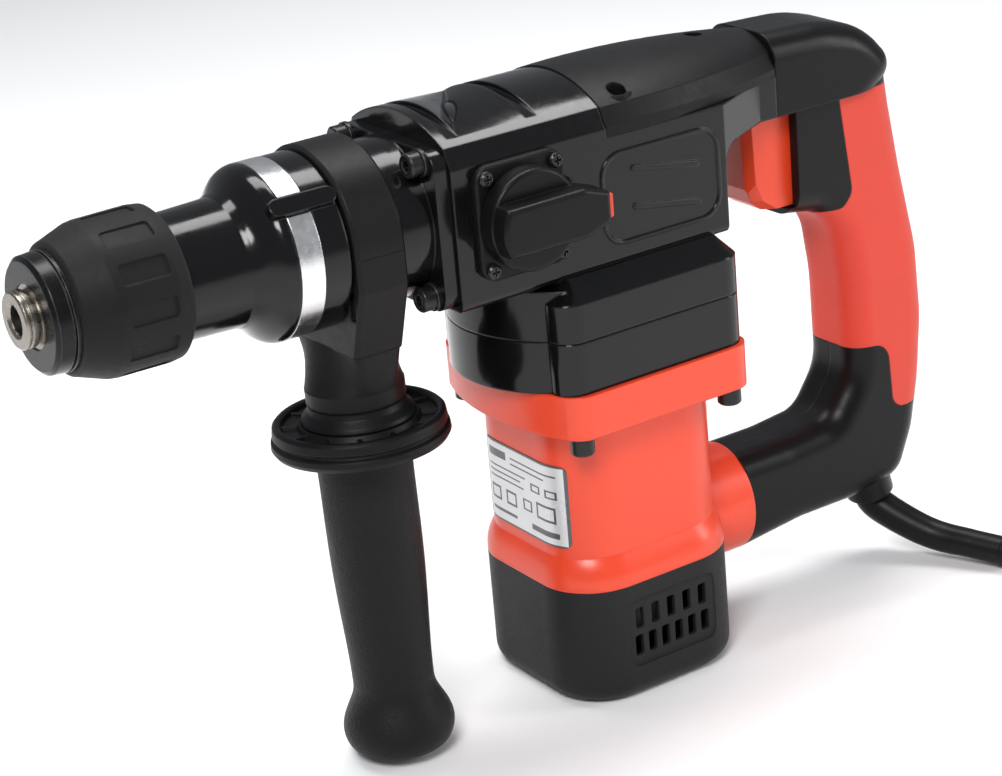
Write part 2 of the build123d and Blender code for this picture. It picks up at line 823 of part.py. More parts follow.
with BuildPart() as motor_housing:
    extrude(motor_plan(level(foot_top), 0).sketch, amount=band_low - foot_top)
    extrude(flange_plan(level(band_low), 0).sketch, amount=band_top - band_low)
    # The barrel flares to the foot.
    loft(sections=[
        foot_plan(level(foot_top), 0).sketch.face(),
        foot_plan(level(foot_top + 5.0), 0.4).sketch.face(),
        motor_plan(level(foot_top + 12.0), 0).sketch.face(),
    ])
    # Boss for the lower handle arm.
    with BuildSketch(Plane(origin=(20.0, 0, tool_height + boss_z), x_dir=(0, 1, 0), z_dir=(1, 0, 0))):
        Ellipse(boss_r - 1.5, boss_r)
    extrude(amount=boss_rear_x - 20.0)
    # Stator bore, fan chamber and bearing cage with brush windows.
    with BuildSketch(level(foot_top)):
        Circle(stator_r)
    extrude(amount=band_top - foot_top, mode=Mode.SUBTRACT)
    extrude(flange_plan(level(band_low + 1.0), 6.0).sketch, amount=20.0, mode=Mode.SUBTRACT)
    with BuildSketch(level(-182.0)):
        Circle(cage_r)
    extrude(amount=32.0)
    with BuildSketch(level(foot_top)):
        Circle(stator_r + 1.0)
        Circle(20.0, mode=Mode.SUBTRACT)
    extrude(amount=3.0)
    with BuildSketch(level(-170.0)):
        Circle(20.0)
    extrude(amount=30.0, mode=Mode.SUBTRACT)
    with BuildSketch(level(-180.0)):
        Circle(9.0)
    extrude(amount=20.0, mode=Mode.SUBTRACT)
    with BuildSketch(level(-160.0)):
        Rectangle(60.0, 9.4)
    extrude(amount=11.4, mode=Mode.SUBTRACT)
    # Screw holes through the flange corners.
    with BuildSketch(level(band_low - 1.0)):
        with Locations(*screw_places):
            Circle(2.1)
    extrude(amount=20.0, mode=Mode.SUBTRACT)
write(motor_housing, "motor_housing")

# ---------------------------------------------------------------- motor inside
write(ring(-142.0, -98.0, 20.6, stator_r, motor_plane, 0.8), "stator")

with BuildPart() as armature_shaft:
    add(turned(
        [(-180.0, 0), (-180.0, 4.5), (-170.5, 4.5), (-170.5, 5.0), (-50.0, 5.0), (-48.0, 3.1),
         (-37.5, 3.1), (-37.5, 0)],
        motor_plane,
    ).part)
    add(spur_gear(0, pinion_teeth, gear_low + 0.5, gear_height - 1.0, 0, 18).part)
write(armature_shaft, "armature_shaft")

slot_count = 12
with BuildPart() as armature_core:
    with BuildSketch(level(-140.0)):
        Circle(20.0)
        Circle(5.0, mode=Mode.SUBTRACT)
        with PolarLocations(17.8, slot_count):
            SlotOverall(7.0, 3.4, mode=Mode.SUBTRACT)
    extrude(amount=40.0)
write(armature_core, "armature_core")

with BuildPart() as commutator:
    with BuildSketch(level(-160.0)):
        Circle(11.0)
        Circle(5.0, mode=Mode.SUBTRACT)
        with PolarLocations(10.6, 2 * slot_count):
            Rectangle(1.6, 0.5, mode=Mode.SUBTRACT)
    extrude(amount=14.0)
write(commutator, "commutator")

blade_count = 12
with BuildPart() as fan:
    with BuildSketch(level(-93.0)):
        Circle(27.5)
        Circle(5.0, mode=Mode.SUBTRACT)
    extrude(amount=1.8)
    with BuildSketch(level(-91.2)):
        Circle(9.0)
        Circle(5.0, mode=Mode.SUBTRACT)
        with PolarLocations(18.0, blade_count):
            with Locations(Location((0, 0), 25.0)):
                Rectangle(16.0, 1.6)
    extrude(amount=8.0)
write(fan, "fan")
write(group([
    ring(bearing_low, -56.0, 5.0 + run_fit, motor_seat_r, motor_plane),
    ring(-180.0, -171.0, 4.5 + run_fit, 9.0, motor_plane),
]), "motor_bearings")

# Brush holders reach in through the cage windows at both sides of the commutator.
holders = []
brush_blocks = []
for side in (-1, 1):
    with BuildPart() as holder:
        with BuildSketch(level(-158.5)):
            with Locations((side * 21.0, 0)):
                Rectangle(16.0, 8.8)
                Rectangle(16.2, 5.6, mode=Mode.SUBTRACT)
        extrude(amount=9.0)
        with BuildSketch(level(-158.5)):
            with Locations((side * 21.0, 0)):
                Rectangle(16.0, 8.8)
        extrude(amount=1.2)
    holders.append(holder)
    with BuildPart() as brush:
        with BuildSketch(level(-157.2)):
            with Locations((side * 18.6, 0)):
                Rectangle(15.0, 5.4)
        extrude(amount=7.5)
    brush_blocks.append(brush)
write(group(holders), "brush_holders")
write(group(brush_blocks), "brushes")

# ---------------------------------------------------------------- base cap
foot_low = -tool_height
vent_rows = ((-164.5, 5, 7.0), (-175.5, 6, 5.8))
foot_screw_places = [(x, y) for x in (-27.0, 25.0) for y in (-25.0, 25.0)]
with BuildPart() as base_cap:
    extrude(foot_plan(level(foot_low), 0).sketch, amount=foot_top - foot_low)
    fillet(base_cap.faces().sort_by(Axis.Z)[0].edges(), radius=8.0)
    extrude(foot_plan(level(foot_low + 3.0), 3.0).sketch, amount=60.0, mode=Mode.SUBTRACT)
    # Room for the boss of the handle arm.
    with BuildSketch(Plane(origin=(15.0, 0, tool_height + boss_z), x_dir=(0, 1, 0), z_dir=(1, 0, 0))):
        Ellipse(boss_r - 1.5 + 0.2, boss_r + 0.2)
    extrude(amount=60.0, mode=Mode.SUBTRACT)
    # Recessed panel with two rows of air slots on both flanks.
    for side in (-1, 1):
        flank = Plane(origin=(0, side * foot_half, tool_height), x_dir=(1, 0, 0), z_dir=(0, side, 0))
        with BuildSketch(flank):
            with Locations((1.0, -170.0)):
                RectangleRounded(40.0, 27.0, 4.0)
        extrude(amount=-1.0, mode=Mode.SUBTRACT)
        with BuildSketch(flank):
            for height, count, width in vent_rows:
                with Locations((1.0, height)):
                    with GridLocations(34.0 / count + 0.4, 1.0, count, 1):
                        RectangleRounded(3.6, 8.2, 0.8)
        extrude(amount=-6.0, mode=Mode.SUBTRACT)
    # Screw posts inside, counterbored from below.
    for x, y in foot_screw_places:
        with BuildSketch(level(foot_low + 3.0)):
            with Locations((x, y)):
                Circle(4.5)
        extrude(amount=foot_top - foot_low - 3.0)
        with BuildSketch(level(foot_low)):
            with Locations((x, y)):
                Circle(3.6)
        extrude(amount=5.0, mode=Mode.SUBTRACT)
        with BuildSketch(level(foot_low)):
            with Locations((x, y)):
                Circle(1.8)
        extrude(amount=foot_top - foot_low, mode=Mode.SUBTRACT)
write(base_cap, "base_cap")
write(group([
    cross_screw((x, y, foot_low + 5.0), (0, 0, -1), 3.3, 3.0, 1.7, 42.0) for x, y in foot_screw_places
]), "base_screws")
write(group([
    socket_screw((x, y, band_low), (0, 0, -1), 4.4, 7.0, 2.0, 26.0, 2.3) for x, y in screw_places
]), "flange_screws")

with BuildPart() as rating_label:
    extrude(motor_plan(level(-134.0), -0.35).sketch, amount=32.5)
    extrude(motor_plan(level(-135.0), 0).sketch, amount=34.5, mode=Mode.SUBTRACT)
    with BuildSketch(Plane(origin=(-26.0, -2.0, tool_height - 117.7), x_dir=(0, 1, 0), z_dir=(-1, 0, 0))):
        RectangleRounded(48.0, 32.5, 2.5)
    extrude(amount=40.0, mode=Mode.INTERSECT)
write(rating_label, "rating_label")


# ---------------------------------------------------------------- top cover
def cover_section(x, half, eave_z, crown_z, inset):
    """Dome above the deck, from one edge to the other."""
    floor = deck_z - inset
    with BuildSketch(cross_plane(x)) as section:
        with BuildLine():
            Polyline(
                (-half + inset + 3.0, eave_z - inset),
                (-half + inset, eave_z - 6.0 - inset / 2),
                (-half + inset, floor),
                (half - inset, floor),
                (half - inset, eave_z - 6.0 - inset / 2),
                (half - inset - 3.0, eave_z - inset),
            )
            ThreePointArc(
                (half - inset - 3.0, eave_z - inset),
                (0, crown_z - inset),
                (-half + inset + 3.0, eave_z - inset),
            )
        make_face()
    return section.sketch.face()


cover_stations = (
    (deck_x, case_half, 28.0, 37.0),
    (30.0, 32.0, 28.0, 37.0),
    (seam_x - 0.2, crest_half, 27.0, 33.0),
)
cover_screw_places = ((1.0, -25.0), (1.0, 25.0), (54.0, 0.0))
with BuildPart() as top_cover:
    loft(sections=[cover_section(x, half, eave, crown, 0) for x, half, eave, crown in cover_stations])
    loft(
        sections=[
            cover_section(x + shift, half, eave, crown, 3.0)
            for (x, half, eave, crown), shift in zip(cover_stations, (3.0, 0.0, -3.0))
        ],
        mode=Mode.SUBTRACT,
    )
    for x, y in cover_screw_places:
        with BuildSketch(level(deck_z)):
            with Locations((x, y)):
                Circle(5.0)
        extrude(amount=12.0 if y else 15.0)
        with BuildSketch(level(deck_z + 3.0)):
            with Locations((x, y)):
                Circle(3.4)
        extrude(amount=30.0, mode=Mode.SUBTRACT)
        with BuildSketch(level(deck_z)):
            with Locations((x, y)):
                Circle(1.7)
        extrude(amount=10.0, mode=Mode.SUBTRACT)
write(top_cover, "top_cover")
write(group([
    cross_screw((x, y, deck_z + 3.0), (0, 0, 1), 3.2, 2.4, 1.6, 2.9) for x, y in cover_screw_places
]), "cover_screws")

# ---------------------------------------------------------------- mode selector
plate_low = -case_half
plate_top = plate_low - 3.0
knob_base = plate_top - 0.3
knob_face = plate_top - 8.0
bar_face = plate_top - 15.5
knob_r = 18.0


def side_face(y):
    """Plane on the knob side at Y, its own X along +X and its own Y along +Z."""
    return Plane(origin=(selector_x, y, tool_height), x_dir=(1, 0, 0), z_dir=(0, -1, 0))


selector_screw_places = [(x, z) for x in (-14.2, 14.2) for z in (-16.4, 16.4)]
with BuildPart() as selector_plate:
    with BuildSketch(side_face(plate_low)):
        RectangleRounded(36.0, 41.0, 6.0)
        Circle(selector_hole_r, mode=Mode.SUBTRACT)
        with Locations(*selector_screw_places):
            Circle(1.4, mode=Mode.SUBTRACT)
    extrude(amount=3.0)
    chamfer(selector_plate.faces().sort_by(Axis.Y)[0].outer_wire().edges(), length=0.8)
write(selector_plate, "selector_plate")
write(group([
    cross_screw((selector_x + x, plate_top, z), (0, -1, 0), 2.7, 2.0, 1.4, 2.9)
    for x, z in selector_screw_places
]), "selector_screws")

with BuildPart() as mode_knob:
    with BuildSketch(side_face(knob_base)):
        Circle(knob_r)
    extrude(amount=knob_base - knob_face)
    fillet(mode_knob.faces().sort_by(Axis.Y)[0].edges(), radius=1.5)
    with BuildSketch(side_face(plate_top - 3.5)):
        with BuildLine():
            Polyline((15.7, 8.8), (26.0, 5.4), (26.0, -5.4), (15.7, -8.8))
            ThreePointArc((15.7, -8.8), (10.0, 0), (15.7, 8.8))
        make_face()
    extrude(amount=plate_top - 3.5 - bar_face)
    with BuildSketch(side_face(knob_face)):
        with BuildLine():
            Polyline((-15.4, 8.6), (15.7, 8.8), (26.0, 5.4), (26.0, -5.4), (15.7, -8.8), (-15.4, -8.6))
            ThreePointArc((-15.4, -8.6), (-17.6, 0), (-15.4, 8.6))
        make_face()
    extrude(amount=knob_face - bar_face)
    fillet(mode_knob.faces().sort_by(Axis.Y)[0].edges(), radius=1.8)
    with BuildSketch(side_face(knob_base + 0.1)):
        Circle(5.0)
    extrude(amount=-4.0, mode=Mode.SUBTRACT)
write(mode_knob, "mode_knob")

with BuildPart() as knob_insert:
    with BuildSketch(side_face(plate_top - 5.0)):
        with Locations((26.9, 0)):
            RectangleRounded(1.8, 8.6, 0.7)
    extrude(amount=8.5)
write(knob_insert, "knob_insert")

with BuildPart() as selector_shaft:
    with BuildSketch(side_face(knob_base)):
        Circle(selector_hole_r - 2 * run_fit)
    extrude(amount=-12.0)
    with BuildSketch(side_face(knob_base + 12.0)):
        with Locations((2.6, 0)):
            Circle(1.8)
    extrude(amount=-3.0)
write(selector_shaft, "selector_shaft")


# ---------------------------------------------------------------- D-handle
crest_outline = (
    (seam_x, 2.5, 0),
    (seam_x, 33.0, 0),
    (104.0, 31.8, 60.0),
    (124.0, 26.0, 34.0),
    (139.0, 9.0, 8.0),
    (130.0, 2.5, 0),
)
handle_outline = (
    (87.2, 9.0, 0),
    (135.0, 9.0, 0),
    (137.0, -6.0, 30.0),
    (141.5, -32.0, 60.0),
    (148.6, -66.0, 60.0),
    (150.3, -95.0, 60.0),
    (148.0, -121.0, 60.0),
    (144.0, -142.0, 30.0),
    (136.0, -161.0, 12.0),
    (112.0, -165.0, 30.0),
    (84.0, -165.0, 40.0),
    (boss_rear_x, -168.0, 0),
    (boss_rear_x, -129.5, 0),
    (80.0, -129.5, 40.0),
    (101.0, -127.5, 11.0),
    (112.2, -112.0, 20.0),
    (111.4, -74.0, 80.0),
    (107.4, -47.0, 20.0),
    (97.0, -41.5, 5.0),
    (84.5, -39.5, 0),
    (84.5, -36.2, 0),
    (87.2, -36.2, 0),
)
overmould_outline = (
    (108.0, 2.6, 0),
    (113.0, -36.0, 6.0),
    (108.0, -41.5, 4.0),
    (80.0, -43.5, 0),
    (80.0, -101.0, 0),
    (128.0, -101.0, 8.0),
    (130.0, -130.0, 6.0),
    (165.0, -130.0, 0),
    (165.0, 2.6, 0),
)


def side_view(outline, inset):
    """Face of a side view from (x, z, corner radius) points, drawn in by inset."""
    with BuildSketch(tool_plane) as view:
        with BuildLine():
            Polyline(*[(x, z) for x, z, radius in outline], close=True)
        make_face()
        for x, z, radius in outline:
            if radius:
                fillet(view.vertices().sort_by_distance((x, z, 0))[0], radius=radius)
        if inset:
            offset(amount=-inset, kind=Kind.INTERSECTION, mode=Mode.REPLACE)
    return view.sketch


def gripped(edge):
    """True for the rims of the grip and lower arm that a hand closes round."""
    x = edge.center().X
    z = edge.center().Z - tool_height
    back = x > 135.0 and z < 3.0
    under = z < -155.0 and x > boss_rear_x + 1.0
    inner = -130.0 < z < -47.0 and boss_rear_x + 1.0 < x < 113.0
    return back or under or inner


def handle_body(inset, round_by):
    """Grip and lower arm as a slab with rounded rims, drawn in by inset."""
    with BuildPart() as body:
        extrude(side_view(handle_outline, inset), amount=grip_half - inset, both=True)
        if round_by:
            fillet(body.faces().filter_by(Axis.Y).edges().filter_by(gripped), radius=round_by)
    return body


def crest_body(inset):
    """Upper limb of the handle, a little wider than the grip below it."""
    with BuildPart() as body:
        extrude(side_view(crest_outline, inset), amount=crest_half - inset, both=True)
        if not inset:
            rims = body.faces().filter_by(Axis.Y).edges()
            fillet(
                rims.filter_by(lambda e: e.center().Z > tool_height + 6.0)
                .filter_by(lambda e: e.center().X > seam_x + 1.0),
                radius=10.0,
            )
    return body


crest = crest_body(0)
grip = handle_body(0, 10.0)
grip_core = handle_body(2.0, 8.0)
gland_top = Vector(126.5, 0, tool_height - 158.0)
gland_run = Vector(0.28, 0, -1.0).normalized()
gland_length = 13.0

# Soft grip layer: what lies between the full grip and its core in the covered zone.
with BuildPart() as soft_grip:
    add(grip.part)
    add(grip_core.part, mode=Mode.SUBTRACT)
    extrude(side_view(overmould_outline, 0), amount=30.0, both=True, mode=Mode.INTERSECT)
write(soft_grip, "soft_grip")

# Screws of the handle, driven from +Y: X, height and the distance of the seat from the middle.
screw_places = (
    (92.0, 22.0, 14.0),
    (124.0, 12.0, 14.0),
    (123.0, -112.0, 11.0),
    (124.0, -148.0, 11.0),
    (70.0, -148.0, 11.0),
)
guide_half = 11.6
with BuildPart() as handle:
    add(crest.part)
    add(grip.part)
    add(soft_grip.part, mode=Mode.SUBTRACT)
    add(crest_body(3.5).part, mode=Mode.SUBTRACT)
    add(handle_body(5.0, 0).part, mode=Mode.SUBTRACT)
    # Gland for the cord guard under the elbow.
    with BuildSketch(Plane(origin=gland_top, z_dir=gland_run)):
        Circle(9.6)
    extrude(amount=gland_length)
    with BuildSketch(Plane(origin=gland_top - gland_run * 4.0, z_dir=gland_run)):
        Circle(7.0)
    extrude(amount=30.0, mode=Mode.SUBTRACT)
    with BuildSketch(Plane(origin=gland_top - gland_run * 4.0, z_dir=gland_run)):
        Circle(8.5)
    extrude(amount=4.0, mode=Mode.SUBTRACT)
    # Opening for the trigger.
    with BuildSketch(tool_plane):
        Polygon((82.0, 2.0), (98.0, 2.0), (98.0, -36.4), (82.0, -36.4), align=None)
    extrude(amount=guide_half + 0.6, both=True, mode=Mode.SUBTRACT)
    # Screw posts that join the two shells.
    for x, z, seat in screw_places:
        with BuildSketch(tool_plane):
            with Locations((x, z)):
                Circle(4.2)
        extrude(amount=seat + 3.0, both=True)
        with BuildSketch(tool_plane.offset(-seat)):
            with Locations((x, z)):
                Circle(1.5)
        extrude(amount=2 * seat, mode=Mode.SUBTRACT)
        with BuildSketch(tool_plane.offset(-seat)):
            with Locations((x, z)):
                Circle(3.3)
        extrude(amount=-12.0, mode=Mode.SUBTRACT)

for label, keep in (("near", Keep.TOP), ("far", Keep.BOTTOM)):
    with BuildPart() as shell:
        add(handle.part)
        split(bisect_by=tool_plane, keep=keep)
    write(shell, f"handle_shell_{label}")
write(group([
    cross_screw((x, seat, z), (0, 1, 0), 3.1, 2.2, 1.5, 20.0) for x, z, seat in screw_places
]), "handle_screws")

# Trigger with its push rod, its spring, and the switch behind it.
switch_x = 100.0
with BuildPart() as trigger:
    with BuildSketch(tool_plane):
        Polygon(
            (67.0, 1.2),
            (68.0, -26.0),
            (70.5, -32.0),
            (75.0, -35.2),
            (91.5, -35.6),
            (91.5, 1.2),
            align=None,
        )
    extrude(amount=guide_half, both=True)
    chamfer(
        trigger.edges().filter_by(lambda e: e.center().X < 73.5).filter_by(lambda e: abs(e.center().Y) > 5.0),
        length=3.4, length2=2.8,
    )
    with BuildSketch(Plane(origin=(91.6, 0, tool_height - 17.0), x_dir=(0, 1, 0), z_dir=(-1, 0, 0))):
        Rectangle(2 * guide_half - 4.0, 29.0)
    extrude(amount=12.0, mode=Mode.SUBTRACT)
    # Push rod that reaches into the switch.
    with BuildSketch(Plane(origin=(79.0, 0, tool_height - 14.0), x_dir=(0, 1, 0), z_dir=(1, 0, 0))):
        Rectangle(5.6, 5.6)
    extrude(amount=switch_x + 2.0 - 79.0)
write(trigger, "trigger")

with BuildPart() as switch_body:
    with BuildSketch(level(-31.0)):
        with Locations((switch_x + 9.0, 0)):
            Rectangle(18.0, 20.0)
    extrude(amount=27.0)
    with BuildSketch(Plane(origin=(switch_x, 0, tool_height - 14.0), x_dir=(0, 1, 0), z_dir=(1, 0, 0))):
        Rectangle(6.4, 6.4)
    extrude(amount=10.0, mode=Mode.SUBTRACT)
write(switch_body, "switch_body")
with BuildPart() as trigger_spring:
    with BuildLine() as spring_path:
        Helix(pitch=3.3, height=18.4, radius=3.6, center=(80.8, 0, tool_height - 26.0), direction=(1, 0, 0))
    with BuildSketch(Plane(origin=spring_path.line @ 0, z_dir=spring_path.line % 0)):
        Circle(0.45)
    sweep()
write(trigger_spring, "trigger_spring")

# Cord guard: a tapered rubber boot that bends forward and out to the knob side.
mouth_run = Vector(0.44, -0.86, -0.09).normalized()
with BuildLine() as guard_path:
    Spline(
        gland_top + gland_run * (gland_length + 0.3),
        (134.5, -6.5, tool_height - 179.5),
        (143.5, -22.0, tool_height - 187.2),
        (151.5, -37.5, tool_height - 189.2),
        tangents=(gland_run, mouth_run),
    )
guard_stations = (0.0, 0.18, 0.36, 0.54, 0.72, 0.88, 1.0)
with BuildPart() as cord_guard:
    for share in guard_stations:
        with BuildSketch(Plane(origin=guard_path.line @ share, z_dir=guard_path.line % share)):
            Circle(6.9 - 1.1 * share)
    loft()
    # Straight root in the gland and the flange that is trapped above it.
    with BuildSketch(Plane(origin=gland_top, z_dir=gland_run)):
        Circle(6.9)
    extrude(amount=gland_length + 0.3)
    with BuildSketch(Plane(origin=gland_top - gland_run * 2.5, z_dir=gland_run)):
        Circle(8.4)
    extrude(amount=2.5)
    # Straight mouth with a rounded lip and the bore that takes the cord.
    mouth_start = Vector(151.5, -37.5, tool_height - 189.2)
    with BuildSketch(Plane(origin=mouth_start, z_dir=mouth_run)):
        Circle(5.8)
    extrude(amount=14.0)
    with BuildSketch(Plane(origin=mouth_start + mouth_run * 12.0, z_dir=mouth_run)):
        Circle(6.3)
    extrude(amount=2.4)
    fillet(cord_guard.edges().filter_by(GeomType.CIRCLE).group_by(Axis((0, 0, 0), mouth_run))[-1], radius=0.8)
    with BuildSketch(Plane(origin=mouth_start + mouth_run * 14.4, z_dir=mouth_run)):
        Circle(4.2)
    extrude(amount=-13.0, mode=Mode.SUBTRACT)
write(cord_guard, "cord_guard")


# ---------------------------------------------------------------- side handle
yoke_front = clamp_x + 0.8
yoke_rear = clamp_rear_x - 0.8
clamp_split = -1.0
disc_at = 67.2            # distances below the tool axis along the leaning grip axis
grip_start = 77.6
bolt_r = 4.0
bolt_end = 122.0

with BuildPart() as side_clamp:
    with BuildSketch(cross_plane(yoke_front)):
        Circle(32.4)
        Circle(clamp_r + gap, mode=Mode.SUBTRACT)
        with Locations((0, -40.0 + clamp_split)):
            Rectangle(80.0, 80.0, mode=Mode.SUBTRACT)
    extrude(amount=yoke_rear - yoke_front)
    chamfer(
        side_clamp.edges().filter_by(GeomType.CIRCLE).filter_by(lambda e: e.radius > 32.0),
        length=1.2,
    )
write(side_clamp, "side_clamp")



def down(distance):
    """Plane across the leaning grip axis, facing down, at a distance from the tool axis."""
    return Plane(origin=side_plane.origin + side_plane.x_dir * distance, x_dir=(1, 0, 0), z_dir=side_plane.x_dir)


with BuildPart() as side_yoke:
    with BuildSketch(cross_plane(yoke_front)):
        with BuildLine():
            Polyline(
                (-32.4, clamp_split),
                (-32.4, -13.0),
                (-23.8, -38.0),
                (20.8, -38.0),
                (32.4, -13.0),
                (32.4, clamp_split),
                close=True,
            )
        make_face()
    extrude(amount=yoke_rear - yoke_front)
    chamfer(
        side_yoke.faces().filter_by(Axis.X).edges().filter_by(lambda e: abs(e.center().Y) > 22.0),
        length=1.2,
    )
    # Neck from the square saddle to the round boss, then the boss itself.
    with BuildPart(mode=Mode.PRIVATE) as neck:
        with BuildSketch(down(36.0)):
            RectangleRounded(yoke_rear - yoke_front, 44.0, 3.0)
        with BuildSketch(down(55.0)):
            Circle(17.6)
        loft()
    add(neck.part)
    add(turned(
        [
            (54.5, 0),
            (54.5, 17.6),
            (60.0, 17.6),
            (61.0, 17.2),
            (63.0, 17.8),
            (disc_at - 1.8, 20.0),
            (disc_at - gap, 20.6),
            (disc_at - gap, 0),
        ],
        side_plane,
    ).part)
    with BuildSketch(cross_plane(yoke_front - 10.0)):
        Circle(clamp_r + gap)
    extrude(amount=40.0, mode=Mode.SUBTRACT)
    # Tall recesses in the front face and the seat of the bolt head.
    with BuildSketch(cross_plane(yoke_front)):
        with Locations((-25.6, -17.0), (25.6, -17.0)):
            RectangleRounded(4.0, 13.0, 1.0)
    extrude(amount=2.0, mode=Mode.SUBTRACT)
    with BuildSketch(down(20.0)):
        RegularPolygon(7.4, 6)
    extrude(amount=16.5, mode=Mode.SUBTRACT)
    with BuildSketch(down(20.0)):
        Circle(bolt_r + 0.1)
    extrude(amount=60.0, mode=Mode.SUBTRACT)
write(side_yoke, "side_yoke")

with BuildPart() as side_bolt:
    with BuildSketch(down(31.0)):
        RegularPolygon(7.2, 6)
    extrude(amount=5.5)
    with BuildSketch(down(36.0)):
        Circle(bolt_r)
    extrude(amount=bolt_end - 36.0)
write(side_bolt, "side_bolt")

# Dished guard disc with a double rim and radial ribs.
disc_ribs = 12
with BuildPart() as guard_disc:
    add(turned(
        [
            (disc_at, bolt_r + gap),
            (disc_at, 21.0),
            (disc_at + 2.0, 22.0),
            (disc_at + 2.0, 27.0),
            (disc_at + 0.2, 27.6),
            (disc_at - 0.6, 28.4),
            (disc_at - 0.6, 29.6),
            (disc_at + 0.4, 30.6),
            (disc_at + 3.4, 31.0),
            (disc_at + 4.0, 30.2),
            (disc_at + 4.8, 30.2),
            (disc_at + 5.6, 31.6),
            (disc_at + 7.6, 31.8),
            (disc_at + 9.2, 30.8),
            (disc_at + 9.8, 29.0),
            (disc_at + 6.0, 26.0),
            (disc_at + 6.0, 18.6),
            (grip_start, 18.4),
            (grip_start, bolt_r + gap),
        ],
        side_plane,
    ).part)
    for index in range(disc_ribs):
        turn = 2 * pi * index / disc_ribs
        rib_middle = side_plane.origin + side_plane.x_dir * (disc_at + 1.0) + (
            down(0).x_dir * cos(turn) + down(0).y_dir * sin(turn)
        ) * 24.4
        with BuildSketch(Plane(
            origin=rib_middle,
            x_dir=down(0).x_dir * cos(turn) + down(0).y_dir * sin(turn),
            z_dir=side_plane.x_dir,
        )):
            Rectangle(6.0, 1.6)
        extrude(amount=1.6)
write(guard_disc, "guard_disc")

with BuildPart() as side_grip:
    with BuildSketch(side_plane):
        with BuildLine():
            Line((grip_start, bolt_r + gap), (grip_start, 17.6))
            Spline(
                (grip_start, 17.6),
                (90.0, 16.9),
                (115.0, 16.8),
                (145.0, 15.6),
                (169.0, 14.7),
                tangents=((1, -0.15), (1, 0)),
            )
            Spline(
                (169.0, 14.7),
                (174.0, 15.9),
                (181.0, 19.2),
                (187.0, 20.2),
                (192.0, 18.4),
                (195.6, 11.0),
                tangents=((1, 0.05), (0.25, -1)),
            )
            Polyline(
                (195.6, 11.0),
                (196.2, 6.0),
                (196.2, 0.0),
                (bolt_end + 3.0, 0.0),
                (bolt_end + 3.0, bolt_r + gap),
                (grip_start, bolt_r + gap),
            )
        make_face()
    revolve(axis=Axis(side_plane.origin, side_plane.x_dir))
write(side_grip, "side_grip")
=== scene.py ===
from math import cos, radians, sin

import bpy
from mathutils import Matrix, Vector


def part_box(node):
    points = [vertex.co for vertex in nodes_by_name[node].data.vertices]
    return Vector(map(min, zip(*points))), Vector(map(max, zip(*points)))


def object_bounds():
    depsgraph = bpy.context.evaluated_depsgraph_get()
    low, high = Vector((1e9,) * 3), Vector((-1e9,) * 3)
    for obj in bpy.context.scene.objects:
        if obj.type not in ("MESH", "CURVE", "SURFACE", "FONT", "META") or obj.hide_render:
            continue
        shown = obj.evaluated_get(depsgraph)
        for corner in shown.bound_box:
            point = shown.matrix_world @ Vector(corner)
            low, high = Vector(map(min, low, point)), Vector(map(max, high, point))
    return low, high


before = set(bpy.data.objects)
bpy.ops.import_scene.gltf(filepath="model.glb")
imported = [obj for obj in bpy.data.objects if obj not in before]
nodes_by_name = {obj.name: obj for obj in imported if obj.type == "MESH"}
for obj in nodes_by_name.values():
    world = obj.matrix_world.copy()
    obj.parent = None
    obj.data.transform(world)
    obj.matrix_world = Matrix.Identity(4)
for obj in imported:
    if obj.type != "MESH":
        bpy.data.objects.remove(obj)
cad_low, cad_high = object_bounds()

# Rotary hammer: the CAD model as a fixed frame, dressed in materials and set on a pale floor.
# Everything is in metres, with +Z up and the tool pointing to -X.

# ---------------------------------------------------------------- driving values
camera_azimuth = radians(-32.03)
camera_elevation = radians(21.74)
camera_roll = radians(5.17)
camera_distance = 0.9661
camera_lens = 96.87
camera_aim = Vector((-0.0450, -0.0060, 0.1242))

orange = (0.76, 0.058, 0.018)
soft_red = (0.62, 0.045, 0.022)
trigger_red = (0.72, 0.048, 0.010)
black = (0.0040, 0.0040, 0.0043)
# near-black painted shade colour for the inside of the orange housing, which lies in shade
inside_shade_color = (0.012, 0.010, 0.010, 1.0)
label_ink = (0.10, 0.10, 0.105, 1.0)
stator_bore = 0.0306           # painted shade: the orange housing is darkened inside this radius, where its inside lies in shade
wave_scale = 0.05              # puts the lines of a wave about six grain sizes apart
floor_half = 4.0
floor_gap = 0.0002             # air between the foot and the floor


# ---------------------------------------------------------------- camera
def place_camera():
    """Camera at the photograph's angle, rolled a little as the picture is."""
    right = Vector((cos(camera_azimuth), sin(camera_azimuth), 0.0))
    back = Vector((
        sin(camera_azimuth) * cos(camera_elevation),
        -cos(camera_azimuth) * cos(camera_elevation),
        sin(camera_elevation),
    ))
    up = back.cross(right)
    rolled_right = right * cos(camera_roll) - up * sin(camera_roll)
    rolled_up = right * sin(camera_roll) + up * cos(camera_roll)
    data = bpy.data.cameras.new("camera")
    data.lens = camera_lens
    data.sensor_width = 36.0
    camera = bpy.data.objects.new("camera", data)
    bpy.context.scene.collection.objects.link(camera)
    turn = Matrix((rolled_right, rolled_up, back)).transposed().to_4x4()
    camera.matrix_world = Matrix.Translation(camera_aim + back * camera_distance) @ turn
    bpy.context.scene.camera = camera


# ---------------------------------------------------------------- materials
def start_material(name):
    """New material with its shader, and a helper that adds nodes to it."""
    material = bpy.data.materials.new(name)
    material.use_nodes = True
    tree = material.node_tree
    shader = tree.nodes["Principled BSDF"]

    def node(kind, inputs=None, **settings):
        made = tree.nodes.new(kind)
        for key, value in settings.items():
            setattr(made, key, value)
        for key, value in (inputs or {}).items():
            if isinstance(value, bpy.types.NodeSocket):
                tree.links.new(value, made.inputs[key])
            else:
                made.inputs[key].default_value = value
        return made

    return material, tree, shader, node


